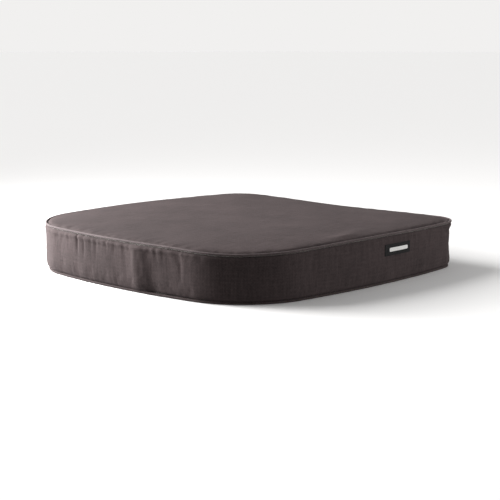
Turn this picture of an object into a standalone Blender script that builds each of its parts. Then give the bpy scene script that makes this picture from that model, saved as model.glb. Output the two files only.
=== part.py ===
"""Boxed foam seat cushion with a zipped, removable fabric cover.

Run it with: blender --background --python part.py

The frame is metres with +Z up. The cushion lies flat on z = 0 with its front edge towards -Y and
the sitter's left side towards +X, and the origin is under the middle of its overall box.
Every layer follows one outline, moved inwards by the thicknesses and clearances of what is outside it.
"""

import math

import bmesh
import bpy
from mathutils import Matrix, Vector

# Overall size
WIDTH = 0.450  # across the widest part of the bowed sides
BODY_DEPTH = 0.4365  # bowed front edge to the rear band, without the zip
EDGE_HEIGHT = 0.0635  # floor to the top piping
CROWN = 0.004  # rise of the top panel's middle above its edge

# Outline seen from above
FRONT_CORNER = 0.078
REAR_CORNER = 0.036
FRONT_BOW = 0.0235  # how far the middle of the front edge stands ahead of its ends
SIDE_BOW = 0.0185

# How the top edge has settled in use: a front corner and the rear sag a little, and the sides rise
FRONT_SAG = 0.0032
FRONT_SAG_X = 0.180  # middle of the sag, at the corner on the sitter's left
FRONT_SAG_SPREAD = 0.055
REAR_SAG = 0.002
REAR_SAG_SPREAD = 0.103
SIDE_RISE = 0.0012
SIDE_RISE_SPREAD = 0.103
SAG_START = 0.040  # nothing below this height has moved

# Cover
FABRIC = 0.0012  # woven cover cloth with its backing
GRIP_CLOTH = 0.0015  # dotted non-slip cloth underneath
PIPING_RADIUS = 0.0015
BOTTOM_TUCK = 0.003  # how far the band pulls in under the cushion
TUCK_HEIGHT = 0.016  # the band is upright above this height
CLEARANCE = 0.0003  # gap between pieces that touch
BAND_JOIN_X = 0.036  # where the two band lengths are sewn together on the front

# Filling
LINER = 0.0006
LINER_SLIT = 0.006  # height of the liner's opening
COMFORT_FOAM = 0.025  # slow memory foam on top, measured at its edge

# Zip, across the straight middle of the rear band
ZIP_MARGIN = 0.0105  # rear corner's end to the end of the zip's opening
ZIP_TAIL = 0.015  # end of the opening to the end of the chain
STRIP_GAP = 0.012  # between the folded edges of the zip strips
TAPE = 0.0005
TAPE_WIDTH = 0.013
TAPE_GAP = 0.0017
COIL_WIDTH = 0.0027
COIL_DEPTH = 0.0017
COIL_GAP = 0.0011
STOP_LENGTH = 0.003

# Slider and its pull
SLIDER_LENGTH = 0.012
SLIDER_WIDTH = 0.0098
PLATE = 0.0008
POST_LENGTH = 0.003
POST_WIDTH = 0.0005
EAR_LENGTH = 0.003
EAR_THICKNESS = 0.0009
PIN_RADIUS = 0.0005
KNUCKLE_RADIUS = 0.0014
KNUCKLE_LENGTH = 0.003
PULL_LENGTH = 0.024  # pin to free end
PULL_WIDTH = 0.0066
PULL_THICKNESS = 0.0012
PULL_HOLE_RADIUS = 0.0016

# Labels
LABEL_Y = 0.046  # middle of the side label, from the middle of the body
LABEL_LENGTH = 0.053
LABEL_HEIGHT = 0.014
LABEL_DROP = 0.020  # top piping to the middle of the side label
LABEL_THICKNESS = 0.0004
CARE_WIDTH = 0.010
CARE_HEIGHT = 0.026

# Steps along the outline, between its corners
CORNER_STEPS = 7
EDGE_STEPS = 7
ZIP_STEPS = 4
TUCK_STEPS = 3
LEAST_STEP = 0.0005  # rows closer than this are left out
CROWN_RINGS = (1.0, 0.94, 0.82, 0.62, 0.36)
ROUND_SIDES = 24

# Sizes that follow from those above
HALF_WIDTH = WIDTH / 2 - SIDE_BOW
HALF_DEPTH = (BODY_DEPTH - FRONT_BOW) / 2
ZIP_RUN = 2 * (HALF_WIDTH - REAR_CORNER - ZIP_MARGIN)
ZIP_CHAIN = ZIP_RUN - 2 * ZIP_TAIL
TAPE_OUT = -FABRIC - CLEARANCE  # outer face of the zip tapes, measured outwards from the rear band
COIL_OUT = TAPE_OUT + CLEARANCE + COIL_DEPTH
SLIDER_OUT = COIL_OUT + CLEARANCE + PLATE
SLIDER_BACK = TAPE_OUT - TAPE - CLEARANCE - PLATE
PIN_OUT = SLIDER_OUT + CLEARANCE + KNUCKLE_RADIUS
ZIP_PROUD = PIN_OUT + KNUCKLE_RADIUS
LINER_INSET = -SLIDER_BACK + CLEARANCE
BODY_SHIFT = (FRONT_BOW - ZIP_PROUD) / 2  # centres the overall box on the origin
REAR_Y = HALF_DEPTH + BODY_SHIFT
ZIP_HEIGHT = EDGE_HEIGHT / 2
BAND_BOTTOM = 2 * PIPING_RADIUS + CLEARANCE
BAND_TOP = EDGE_HEIGHT - 2 * PIPING_RADIUS - CLEARANCE
LINER_BOTTOM = GRIP_CLOTH + CLEARANCE
SUPPORT_BOTTOM = LINER_BOTTOM + LINER + CLEARANCE
COMFORT_EDGE = EDGE_HEIGHT - FABRIC - LINER - 2 * CLEARANCE
SUPPORT_TOP = COMFORT_EDGE - COMFORT_FOAM


# ---------------------------------------------------------------- scene and materials


def clear_scene():
    for obj in list(bpy.data.objects):
        bpy.data.objects.remove(obj)


def new_collection(name, hidden=False):
    made = bpy.data.collections.new(name)
    bpy.context.scene.collection.children.link(made)
    made.hide_render = hidden
    return made


def material(name, colour, roughness, metallic=0.0):
    made = bpy.data.materials.new(name)
    made.use_nodes = True
    shader = made.node_tree.nodes["Principled BSDF"]
    shader.inputs["Base Color"].default_value = (*colour, 1.0)
    shader.inputs["Roughness"].default_value = roughness
    shader.inputs["Metallic"].default_value = metallic
    return made


def add_object(name, mesh, finish):
    obj = bpy.data.objects.new(name, mesh)
    CUSHION.objects.link(obj)
    mesh.materials.append(finish)
    return obj


def mesh_from(name, bm):
    mesh = bpy.data.meshes.new(name)
    bm.to_mesh(mesh)
    bm.free()
    return mesh


# ---------------------------------------------------------------- the outline


def ease(t):
    t = min(max(t, 0.0), 1.0)
    return t * t * (3 - 2 * t)


def bowed(x, y):
    """A point of the plain rounded rectangle, moved out by the bows of the front and the sides."""
    u, v = x / HALF_WIDTH, y / HALF_DEPTH
    forward = FRONT_BOW * (1 - u * u) * ease(-v)
    outward = SIDE_BOW * (1 - v * v) * ease(abs(u))
    return Vector((x + math.copysign(outward, x), y - forward + BODY_SHIFT))


def hump(distance, spread):
    return math.exp(-((distance / spread) ** 2))


def sag(point):
    """How far the top edge has sunk at a point of the outline."""
    y = point.y - BODY_SHIFT
    u, v = point.x / HALF_WIDTH, y / HALF_DEPTH
    front = FRONT_SAG * hump(point.x - FRONT_SAG_X, FRONT_SAG_SPREAD) * ease(-v)
    rear = REAR_SAG * hump(point.x, REAR_SAG_SPREAD) * ease(v)
    side = SIDE_RISE * hump(y, SIDE_RISE_SPREAD) * ease(abs(u))
    return front + rear - side


def straight(start, end, steps):
    (x0, y0), (x1, y1) = start, end
    return [(x0 + (x1 - x0) * i / steps, y0 + (y1 - y0) * i / steps) for i in range(steps)]


def corner(x, y, radius, start_degrees):
    angles = [math.radians(start_degrees + 90 * i / CORNER_STEPS) for i in range(CORNER_STEPS)]
    return [(x + radius * math.cos(a), y + radius * math.sin(a)) for a in angles]


def outline():
    """The closed outline, anticlockwise from the band's front join, and where the zip starts and ends."""
    w, d, front, rear = HALF_WIDTH, HALF_DEPTH, FRONT_CORNER, REAR_CORNER
    half_zip = ZIP_RUN / 2
    path = straight((BAND_JOIN_X, -d), (w - front, -d), 3)
    path += corner(w - front, -d + front, front, -90)
    path += straight((w, -d + front), (w, d - rear), EDGE_STEPS)
    path += corner(w - rear, d - rear, rear, 0)
    path += straight((w - rear, d), (half_zip, d), 1)
    zip_start = len(path)
    path += straight((half_zip, d), (-half_zip, d), ZIP_STEPS)
    zip_end = len(path)
    path += straight((-half_zip, d), (-w + rear, d), 1)
    path += corner(-w + rear, d - rear, rear, 90)
    path += straight((-w, d - rear), (-w, -d + front), EDGE_STEPS)
    path += corner(-w + front, -d + front, front, 180)
    path += straight((-w + front, -d), (BAND_JOIN_X, -d), 6)
    return [bowed(x, y) for x, y in path], zip_start, zip_end


def inset(path, distance):
    """The closed path moved inwards by a distance, with mitred corners."""
    moved = []
    for i, point in enumerate(path):
        before = (point - path[i - 1]).normalized()
        after = (path[(i + 1) % len(path)] - point).normalized()
        along = (before + after).normalized()
        inwards = Vector((-along.y, along.x))
        moved.append(point + inwards * distance / max(before.dot(along), 0.5))
    return moved


def tuck(z):
    """How far the band is pulled in at a height: all of BOTTOM_TUCK at the piping, and none higher up."""
    share = (z - BAND_BOTTOM) / (TUCK_HEIGHT - BAND_BOTTOM)
    return BOTTOM_TUCK * (1 - min(max(share, 0.0), 1.0)) ** 2


def ring(path, distance, z):
    return [Vector((p.x, p.y, z)) for p in inset(path, distance)]


def wall_ring(path, distance, z):
    """A ring of a layer's wall, which sinks with the top edge above SAG_START."""
    share = min(max((z - SAG_START) / (BAND_TOP - SAG_START), 0.0), 1.0)
    points = ring(path, distance + tuck(z), z)
    return [p - Vector((0, 0, sunk * share)) for p, sunk in zip(points, SAGS)]


def crown_rings(path, distance, edge_z):
    """Rings from the edge of a crowned top to near its middle."""
    middle = Vector((0, BODY_SHIFT, 0))
    edge = ring(path, distance + tuck(edge_z), 0)
    rings = []
    for share in CROWN_RINGS:
        rise = edge_z + CROWN * (1 - share**4)
        flat = [middle + (p - middle) * share for p in edge]
        rings.append([p + Vector((0, 0, rise - sunk * share**5)) for p, sunk in zip(flat, SAGS)])
    return rings


def heights(bottom, top, extra=()):
    """Heights from bottom to top, with those that every layer shares, so that their walls stay parallel."""
    tucked = [BAND_BOTTOM + (TUCK_HEIGHT - BAND_BOTTOM) * i / TUCK_STEPS for i in range(TUCK_STEPS + 1)]
    shared = sorted([*tucked, SAG_START, *extra])
    between = [z for z in shared if bottom + LEAST_STEP < z < top - LEAST_STEP]
    return [bottom, *between, top]


# ---------------------------------------------------------------- building tools


def skin(bm, rings, closed=True, start_cap=False, end_cap=False):
    """Faces between rings that run anticlockwise and climb, so that they face out."""
    rows = [[bm.verts.new(p) for p in points] for points in rings]
    count = len(rows[0])
    for lower, upper in zip(rows, rows[1:]):
        for i in range(count if closed else count - 1):
            j = (i + 1) % count
            bm.faces.new((lower[i], lower[j], upper[j], upper[i]))
    if start_cap:
        bm.faces.new(rows[0][::-1])
    if end_cap:
        bm.faces.new(rows[-1])
    return rows


def thicken(obj, thickness):
    """Gives an open surface its thickness, inwards."""
    solid = obj.modifiers.new("thickness", "SOLIDIFY")
    solid.thickness = thickness
    solid.offset = -1
    solid.use_even_offset = True
    return obj


def box_mesh(name, low, high):
    bm = bmesh.new()
    middle = (Vector(low) + Vector(high)) / 2
    size = Vector(high) - Vector(low)
    matrix = Matrix.Translation(middle) @ Matrix.Diagonal((*size, 1))
    bmesh.ops.create_cube(bm, size=1, matrix=matrix)
    return mesh_from(name, bm)


def rod_mesh(name, radius, length, centre=(0, 0, 0), axis="Z"):
    bm = bmesh.new()
    turn = {"Z": Matrix(), "Y": Matrix.Rotation(math.pi / 2, 4, "X")}[axis]
    bmesh.ops.create_cone(
        bm,
        cap_ends=True,
        segments=ROUND_SIDES,
        radius1=radius,
        radius2=radius,
        depth=length,
        matrix=Matrix.Translation(centre) @ turn,
    )
    return mesh_from(name, bm)


def add_tool(mesh, owner):
    """A construction shape in the owner's space, for a Boolean on the owner."""
    tool = bpy.data.objects.new(mesh.name, mesh)
    TOOLS.objects.link(tool)
    tool.parent = owner
    tool.hide_render = True
    tool.display_type = "WIRE"
    return tool


def boolean(obj, mesh, operation):
    cut = obj.modifiers.new(mesh.name, "BOOLEAN")
    cut.operation = operation
    cut.object = add_tool(mesh, obj)
    cut.solver = "EXACT"


def soften(obj, width):
    bevel = obj.modifiers.new("soft edges", "BEVEL")
    bevel.width = width
    bevel.segments = 1
    bevel.limit_method = "ANGLE"
    return obj


# ---------------------------------------------------------------- cover


def make_top_panel():
    bm = bmesh.new()
    skin(bm, crown_rings(PATH, 2 * PIPING_RADIUS + CLEARANCE, EDGE_HEIGHT), end_cap=True)
    thicken(add_object("top_panel", mesh_from("top_panel", bm), CLOTH), FABRIC)


def make_wall(name, start, end, bottom, top):
    """A length of cover cloth standing on edge, between two points of the outline."""
    count = len(PATH)
    length = (end - start) % count
    rows = []
    for z in heights(bottom, top):
        whole = wall_ring(PATH, 0, z)
        rows.append([whole[(start + i) % count] for i in range(length + 1)])
    for row in rows:
        row[0] = row[0] + (row[1] - row[0]).normalized() * CLEARANCE / 2
        row[-1] = row[-1] + (row[-2] - row[-1]).normalized() * CLEARANCE / 2
    bm = bmesh.new()
    skin(bm, rows, closed=False)
    thicken(add_object(name, mesh_from(name, bm), CLOTH), FABRIC)


def make_bands():
    make_wall("boxing_band_left_side", 0, ZIP_START, BAND_BOTTOM, BAND_TOP)
    make_wall("boxing_band_right_side", ZIP_END, 0, BAND_BOTTOM, BAND_TOP)


def make_piping(name, distance, z, sags):
    """Narrow self piping sewn into the seam all round."""
    curve = bpy.data.curves.new(name, "CURVE")
    curve.dimensions = "3D"
    curve.bevel_depth = PIPING_RADIUS
    curve.bevel_resolution = 1
    line = curve.splines.new("POLY")
    points = inset(PATH, distance + PIPING_RADIUS)
    line.points.add(len(points) - 1)
    for slot, point, sunk in zip(line.points, points, sags):
        slot.co = (point.x, point.y, z - sunk, 1)
    line.use_cyclic_u = True
    curve.materials.append(PIPING_CLOTH)
    CUSHION.objects.link(bpy.data.objects.new(name, curve))


def make_flat(name, distance, bottom, thickness, finish):
    """A flat layer cut to the outline."""
    curve = bpy.data.curves.new(name, "CURVE")
    curve.dimensions = "2D"
    curve.fill_mode = "BOTH"
    curve.extrude = thickness / 2
    line = curve.splines.new("POLY")
    points = inset(PATH, distance)
    line.points.add(len(points) - 1)
    for slot, point in zip(line.points, points):
        slot.co = (point.x, point.y, 0, 1)
    line.use_cyclic_u = True
    curve.materials.append(finish)
    obj = bpy.data.objects.new(name, curve)
    obj.location.z = bottom + thickness / 2
    CUSHION.objects.link(obj)


# ---------------------------------------------------------------- filling


def make_liner():
    """The knitted sock round the foam, a shell with its closing slit behind the zip."""
    slit_low, slit_high = ZIP_HEIGHT - LINER_SLIT / 2, ZIP_HEIGHT + LINER_SLIT / 2
    rows = heights(LINER_BOTTOM, EDGE_HEIGHT - FABRIC - CLEARANCE, (slit_low, slit_high))
    rings = [wall_ring(PATH, LINER_INSET, z) for z in rows[:-1]]
    rings += crown_rings(PATH, LINER_INSET, rows[-1])
    bm = bmesh.new()
    skin(bm, rings, start_cap=True, end_cap=True)
    bm.normal_update()
    slit = [f for f in bm.faces if in_slit(f, slit_low, slit_high)]
    bmesh.ops.delete(bm, geom=slit, context="FACES")
    thicken(add_object("inner_liner", mesh_from("inner_liner", bm), KNIT), LINER)


def in_slit(face, low, high):
    """Whether a face of the liner is one of those in its slit: on the rear, behind the zip's middle."""
    middle = face.calc_center_median()
    return face.normal.y > 0.9 and low < middle.z < high and abs(middle.x) < ZIP_RUN / 2


def make_foam():
    inner = LINER_INSET + LINER + CLEARANCE
    support = [wall_ring(PATH, inner, z) for z in heights(SUPPORT_BOTTOM, SUPPORT_TOP)]
    bm = bmesh.new()
    skin(bm, support, start_cap=True, end_cap=True)
    add_object("support_foam", mesh_from("support_foam", bm), FIRM_FOAM)
    bottom = ring(PATH, inner, SUPPORT_TOP + CLEARANCE)
    bm = bmesh.new()
    skin(bm, [bottom] + crown_rings(PATH, inner, COMFORT_EDGE - CLEARANCE), start_cap=True, end_cap=True)
    add_object("comfort_foam", mesh_from("comfort_foam", bm), MEMORY_FOAM)


# ---------------------------------------------------------------- zip


def zip_box(name, x, out, z, finish):
    """A box given by its ranges along the zip, outwards from the rear band, and up from the zip's middle."""
    low = (x[0], REAR_Y + out[0], ZIP_HEIGHT + z[0])
    high = (x[1], REAR_Y + out[1], ZIP_HEIGHT + z[1])
    return add_object(name, box_mesh(name, low, high), finish)


def mirrored(span, side):
    """A height range above the zip's middle, or the same below it."""
    return span if side > 0 else (-span[1], -span[0])


def make_zip_sides():
    half_chain = ZIP_CHAIN / 2
    half_tape = ZIP_RUN / 2 - CLEARANCE
    coil_out = (TAPE_OUT + CLEARANCE, COIL_OUT)
    coil_z = (COIL_GAP / 2, COIL_GAP / 2 + COIL_WIDTH)
    tape_z = (TAPE_GAP / 2, TAPE_GAP / 2 + TAPE_WIDTH)
    stop_x = (-half_chain - CLEARANCE - STOP_LENGTH, -half_chain - CLEARANCE)
    for side, where in ((1, "upper"), (-1, "lower")):
        coil_span = mirrored(coil_z, side)
        tape_span = mirrored(tape_z, side)
        tape_x = (-half_tape, half_tape)
        zip_box(f"zip_tape_{where}", tape_x, (TAPE_OUT - TAPE, TAPE_OUT), tape_span, TAPE_WEAVE)
        coil = zip_box(f"zip_coil_{where}", (-half_chain, half_chain), coil_out, coil_span, NYLON)
        soften(coil, COIL_DEPTH / 4)
        zip_box(f"zip_top_stop_{where}", stop_x, coil_out, coil_span, ZINC)
    bottom_x = (half_chain + CLEARANCE, half_chain + CLEARANCE + STOP_LENGTH)
    both = COIL_GAP / 2 + COIL_WIDTH
    zip_box("zip_bottom_stop", bottom_x, coil_out, (-both, both), ZINC)


def make_zip_strips():
    half_gap = STRIP_GAP / 2
    make_wall("zip_strip_upper", ZIP_START, ZIP_END, ZIP_HEIGHT + half_gap, BAND_TOP)
    make_wall("zip_strip_lower", ZIP_START, ZIP_END, BAND_BOTTOM, ZIP_HEIGHT - half_gap)


def make_slider():
    """Front and back plates joined by the post between the coils, with ears and a cross pin for the pull.

    Its origin is on the zip's middle line, at its closed end, on the rear band's face.
    """
    half = SLIDER_WIDTH / 2
    plate_in = SLIDER_OUT - PLATE
    back_out = SLIDER_BACK + PLATE
    flange_in = TAPE_OUT + CLEARANCE
    pin_x = SLIDER_LENGTH / 2
    body = box_mesh("zip_slider", (0, plate_in, -half), (SLIDER_LENGTH, SLIDER_OUT, half))
    slider = add_object("zip_slider", body, ZINC)
    slider.location = (-ZIP_CHAIN / 2, REAR_Y, ZIP_HEIGHT)
    overlap = PLATE / 2
    pieces = [
        ("slider back", (0, SLIDER_BACK, -half), (SLIDER_LENGTH, back_out, half)),
        (
            "slider post",
            (0, SLIDER_BACK + overlap, -POST_WIDTH / 2),
            (POST_LENGTH, SLIDER_OUT - overlap, POST_WIDTH / 2),
        ),
    ]
    rim = half - COIL_GAP / 2 - COIL_WIDTH - CLEARANCE
    ear = KNUCKLE_LENGTH / 2 + CLEARANCE
    for side, where in ((1, "upper"), (-1, "lower")):
        z = mirrored((half - rim, half), side)
        low = (0, flange_in, z[0])
        pieces.append((f"slider {where} flange", low, (SLIDER_LENGTH, SLIDER_OUT - overlap, z[1])))
        z = mirrored((ear, ear + EAR_THICKNESS), side)
        low = (pin_x - EAR_LENGTH / 2, SLIDER_OUT - overlap, z[0])
        high = (pin_x + EAR_LENGTH / 2, PIN_OUT + 2 * PIN_RADIUS, z[1])
        pieces.append((f"slider {where} ear", low, high))
    for name, low, high in pieces:
        boolean(slider, box_mesh(name, low, high), "UNION")
    length = 2 * ear + EAR_THICKNESS
    boolean(slider, rod_mesh("slider pin", PIN_RADIUS, length, (pin_x, PIN_OUT, 0)), "UNION")
    return slider, pin_x


def make_pull(slider, pin_x):
    """The pull tab, with its knuckle round the slider's pin. Its origin is on the pin."""
    pull = add_object("zip_pull", rod_mesh("zip_pull", KNUCKLE_RADIUS, KNUCKLE_LENGTH), ZINC)
    pull.parent = slider
    pull.location = (pin_x, PIN_OUT, 0)
    half = PULL_THICKNESS / 2
    width = PULL_WIDTH / 2
    end_x = PULL_LENGTH - width
    neck = box_mesh("pull neck", (0, -half, -KNUCKLE_LENGTH / 2), (end_x / 2, half, KNUCKLE_LENGTH / 2))
    # The flat starts beyond the ears, so that the tab can swing between them.
    flat_x = EAR_LENGTH / 2 + 2 * CLEARANCE + PIN_RADIUS
    boolean(pull, neck, "UNION")
    boolean(pull, box_mesh("pull flat", (flat_x, -half, -width), (end_x, half, width)), "UNION")
    end = rod_mesh("pull end", width, PULL_THICKNESS, (end_x, 0, 0), "Y")
    boolean(pull, end, "UNION")
    hole = rod_mesh("pull hole", PULL_HOLE_RADIUS, 3 * PULL_THICKNESS, (end_x, 0, 0), "Y")
    boolean(pull, hole, "DIFFERENCE")
    bore = rod_mesh("pull bore", PIN_RADIUS + CLEARANCE, 2 * KNUCKLE_LENGTH)
    boolean(pull, bore, "DIFFERENCE")


# ---------------------------------------------------------------- labels


def make_side_label():
    """A plain woven label sewn to the sitter's left side, near the rear."""
    middle = EDGE_HEIGHT - LABEL_DROP
    steps = 4
    bm = bmesh.new()
    rows = []
    for z in (middle - LABEL_HEIGHT / 2, middle + LABEL_HEIGHT / 2):
        row = []
        for i in range(steps + 1):
            y = LABEL_Y + LABEL_LENGTH * (i / steps - 0.5)
            point = bowed(HALF_WIDTH, y)
            row.append(Vector((point.x + CLEARANCE + LABEL_THICKNESS, point.y, z)))
        rows.append(row)
    skin(bm, rows, closed=False)
    thicken(add_object("side_label", mesh_from("side_label", bm), LABEL_WEAVE), LABEL_THICKNESS)


def make_care_label():
    """A blank care label inside the cover, beside the end of the zip."""
    start = ZIP_RUN / 2 + CLEARANCE
    out = (TAPE_OUT - LABEL_THICKNESS, TAPE_OUT)
    z = (-CARE_HEIGHT / 2, CARE_HEIGHT / 2)
    zip_box("care_label", (start, start + CARE_WIDTH), out, z, LABEL_SATIN)


clear_scene()
CUSHION = new_collection("seat_cushion")
TOOLS = new_collection("construction", hidden=True)

CLOTH = material("woven polyester, charcoal", (0.120, 0.108, 0.108), 0.92)
PIPING_CLOTH = material("self piping, charcoal", (0.130, 0.117, 0.117), 0.90)
GRIP = material("non-slip cloth, black", (0.020, 0.020, 0.020), 0.80)
KNIT = material("polyester knit, white", (0.780, 0.770, 0.740), 0.90)
MEMORY_FOAM = material("memory foam, cream", (0.800, 0.740, 0.560), 0.95)
FIRM_FOAM = material("polyurethane foam, grey", (0.420, 0.430, 0.440), 0.95)
TAPE_WEAVE = material("polyester zip tape, black", (0.018, 0.018, 0.018), 0.85)
NYLON = material("nylon coil, black", (0.012, 0.012, 0.012), 0.45)
ZINC = material("zinc alloy, black enamel", (0.025, 0.025, 0.027), 0.35, 0.6)
LABEL_WEAVE = material("damask label, black", (0.010, 0.010, 0.010), 0.70)
LABEL_SATIN = material("satin label, white", (0.750, 0.750, 0.740), 0.60)

PATH, ZIP_START, ZIP_END = outline()
SAGS = [sag(point) for point in PATH]

make_top_panel()
make_bands()
make_piping("top_piping", 0, EDGE_HEIGHT - PIPING_RADIUS, SAGS)
make_piping("bottom_piping", BOTTOM_TUCK, PIPING_RADIUS, [0] * len(PATH))
make_flat("bottom_panel", BOTTOM_TUCK + 2 * PIPING_RADIUS + CLEARANCE, 0, GRIP_CLOTH, GRIP)
make_liner()
make_foam()
make_zip_strips()
make_zip_sides()
make_pull(*make_slider())
make_side_label()
make_care_label()
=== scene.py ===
# %% [markdown]
# A seat cushion is a block of foam in a sewn cover: a top panel, a band that stands on edge all
# round it, narrow piping in both seams, and a non-slip cloth underneath. The zip is at the back.
# The measured model is loaded first as a fixed frame. Everything below is built round it, in
# metres, so a piece goes where the frame says and never has to be fitted by eye.

# %% Load the frame
import math

import bmesh
import bpy
import numpy as np
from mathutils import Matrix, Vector


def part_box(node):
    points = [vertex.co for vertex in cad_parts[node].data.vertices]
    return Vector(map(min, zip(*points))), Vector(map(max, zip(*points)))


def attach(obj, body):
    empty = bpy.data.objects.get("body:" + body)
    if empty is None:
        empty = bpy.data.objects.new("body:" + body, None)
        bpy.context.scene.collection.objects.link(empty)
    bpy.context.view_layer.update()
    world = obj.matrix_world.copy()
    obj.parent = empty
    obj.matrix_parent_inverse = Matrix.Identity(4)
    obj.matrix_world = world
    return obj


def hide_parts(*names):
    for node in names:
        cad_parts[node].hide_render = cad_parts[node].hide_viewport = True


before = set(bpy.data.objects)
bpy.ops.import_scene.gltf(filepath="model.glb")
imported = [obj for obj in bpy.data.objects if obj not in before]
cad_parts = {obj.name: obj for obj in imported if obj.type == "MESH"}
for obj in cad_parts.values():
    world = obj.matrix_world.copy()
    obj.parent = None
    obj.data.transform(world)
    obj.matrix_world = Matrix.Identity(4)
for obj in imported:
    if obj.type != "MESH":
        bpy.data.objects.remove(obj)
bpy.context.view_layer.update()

# %% [markdown]
# The cloth follows one outline, so the outline's own sizes come first. They are the sizes that the
# frame was built with: a plain rounded rectangle, bowed out at the front and the sides, whose top
# edge has settled a little in use.

# %% Sizes of the cushion
WIDTH, BODY_DEPTH, EDGE_HEIGHT, CROWN = 0.450, 0.4365, 0.0635, 0.004
FRONT_CORNER, REAR_CORNER = 0.078, 0.036
FRONT_BOW, SIDE_BOW = 0.0235, 0.0185
FRONT_SAG, FRONT_SAG_X, FRONT_SAG_SPREAD = 0.0032, 0.180, 0.055
REAR_SAG, REAR_SAG_SPREAD = 0.002, 0.103
SIDE_RISE, SIDE_RISE_SPREAD = 0.0012, 0.103
SAG_START = 0.040
FABRIC, GRIP_CLOTH, KNIT_CLOTH, PIPING = 0.0012, 0.0015, 0.0006, 0.0015  # PIPING is a radius
CLEARANCE = 0.0003
BOTTOM_TUCK, TUCK_HEIGHT = 0.003, 0.016
JOIN_X = 0.036  # where the two lengths of band are sewn together, on the front
ZIP_PROUD, ZIP_MARGIN, ZIP_GAP = 0.0047, 0.0105, 0.012
HALF_WIDTH = WIDTH / 2 - SIDE_BOW
HALF_DEPTH = (BODY_DEPTH - FRONT_BOW) / 2
ZIP_RUN = 2 * (HALF_WIDTH - REAR_CORNER - ZIP_MARGIN)
SHIFT = (FRONT_BOW - ZIP_PROUD) / 2
REAR_Y = HALF_DEPTH + SHIFT
ZIP_HEIGHT = EDGE_HEIGHT / 2
BAND_BOTTOM = 2 * PIPING + CLEARANCE
BAND_TOP = EDGE_HEIGHT - 2 * PIPING - CLEARANCE
print("half width", HALF_WIDTH, "half depth", HALF_DEPTH, "rear face", REAR_Y)


# %% Bows and sags
def ease(t):
    t = np.clip(t, 0.0, 1.0)
    return t * t * (3 - 2 * t)


def bowed(x, y):
    """A point of the plain rounded rectangle, moved out by the bows."""
    u, v = x / HALF_WIDTH, y / HALF_DEPTH
    forward = FRONT_BOW * (1 - u * u) * ease(-v)
    outward = SIDE_BOW * (1 - v * v) * ease(np.abs(u))
    return np.stack([x + np.copysign(outward, x), y - forward + SHIFT], -1)


def hump(distance, spread):
    return np.exp(-((distance / spread) ** 2))


def sag(point):
    """How far the top edge has sunk at a point of the outline."""
    x, y = point[..., 0], point[..., 1] - SHIFT
    front = FRONT_SAG * hump(x - FRONT_SAG_X, FRONT_SAG_SPREAD) * ease(-y / HALF_DEPTH)
    rear = REAR_SAG * hump(x, REAR_SAG_SPREAD) * ease(y / HALF_DEPTH)
    return front + rear - SIDE_RISE * hump(y, SIDE_RISE_SPREAD) * ease(np.abs(x) / HALF_WIDTH)


# %% [markdown]
# The outline is kept as a long list of points half a millimetre apart, with the length walked to
# each. A place on the band is then a length along the outline and a height, which is how a sewer
# would measure it, and any piece can be sampled as finely as it needs. Lengths start at the front
# join and run towards the sitter's left; right and left in the names are as seen from the front.

# %% The outline as lengths
OUTLINE_STEP = 0.0005


def straight(a, b):
    steps = max(2, int(math.dist(a, b) / OUTLINE_STEP))
    t = np.arange(steps)[:, None] / steps
    return np.array(a) * (1 - t) + np.array(b) * t


def corner(x, y, radius, start):
    steps = int(radius * math.pi / 2 / OUTLINE_STEP)
    angle = np.radians(start + 90 * np.arange(steps) / steps)
    return np.stack([x + radius * np.cos(angle), y + radius * np.sin(angle)], -1)


W, D, FC, RC = HALF_WIDTH, HALF_DEPTH, FRONT_CORNER, REAR_CORNER
runs = [
    straight((JOIN_X, -D), (W - FC, -D)),
    corner(W - FC, -D + FC, FC, -90),
    straight((W, -D + FC), (W, D - RC)),
    corner(W - RC, D - RC, RC, 0),
    straight((W - RC, D), (-W + RC, D)),
    corner(-W + RC, D - RC, RC, 90),
    straight((-W, D - RC), (-W, -D + FC)),
    corner(-W + FC, -D + FC, FC, 180),
    straight((-W + FC, -D), (JOIN_X, -D)),
]
plain = np.concatenate(runs)
LOOP = bowed(plain[:, 0], plain[:, 1])
steps = np.linalg.norm(np.roll(LOOP, -1, 0) - LOOP, axis=1)
REACH = np.concatenate([[0.0], np.cumsum(steps)])
GIRTH = REACH[-1]
along = np.roll(LOOP, -3, 0) - np.roll(LOOP, 3, 0)
along /= np.linalg.norm(along, axis=1)[:, None]
OUTWARD = np.stack([along[:, 1], -along[:, 0]], -1)
print("girth", round(GIRTH, 4))


# %% Places on the outline
def read_loop(values, s):
    closed = np.concatenate([values, values[:1]])
    return np.stack([np.interp(np.mod(s, GIRTH), REACH, closed[:, i]) for i in (0, 1)], -1)


def on_loop(s, out=0.0):
    """Points at lengths s along the outline, moved outwards by a distance."""
    facing = read_loop(OUTWARD, s)
    return read_loop(LOOP, s) + facing * np.asarray(out)[..., None], facing


def signed_length(s):
    """A length along the outline, counted the shorter way round."""
    return (s + GIRTH / 2) % GIRTH - GIRTH / 2


def length_at(x, y):
    """The length along the outline of the point nearest to a place."""
    return REACH[np.argmin((LOOP[:, 0] - x) ** 2 + (LOOP[:, 1] - y) ** 2)]


def front_at(x):
    """The same for a place on the front, as a length right (+) or left (-) of the band's join."""
    front = (LOOP[:, 1] < SHIFT - 0.15) & (np.abs(LOOP[:, 0] - x) < 0.001)
    s = REACH[:-1][front][np.argmin(np.abs(LOOP[front, 0] - x))]
    return s if s < GIRTH / 2 else s - GIRTH


ends = np.cumsum([0] + [len(r) for r in runs])
FRONT_RIGHT, REAR_RIGHT, REAR_LEFT, FRONT_LEFT = (
    REACH[(ends[i] + ends[i + 1]) // 2] for i in (1, 3, 5, 7)
)
ZIP_START = length_at(ZIP_RUN / 2, REAR_Y)
ZIP_END = length_at(-ZIP_RUN / 2, REAR_Y)
print("zip from", round(ZIP_START, 4), "to", round(ZIP_END, 4))


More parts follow.
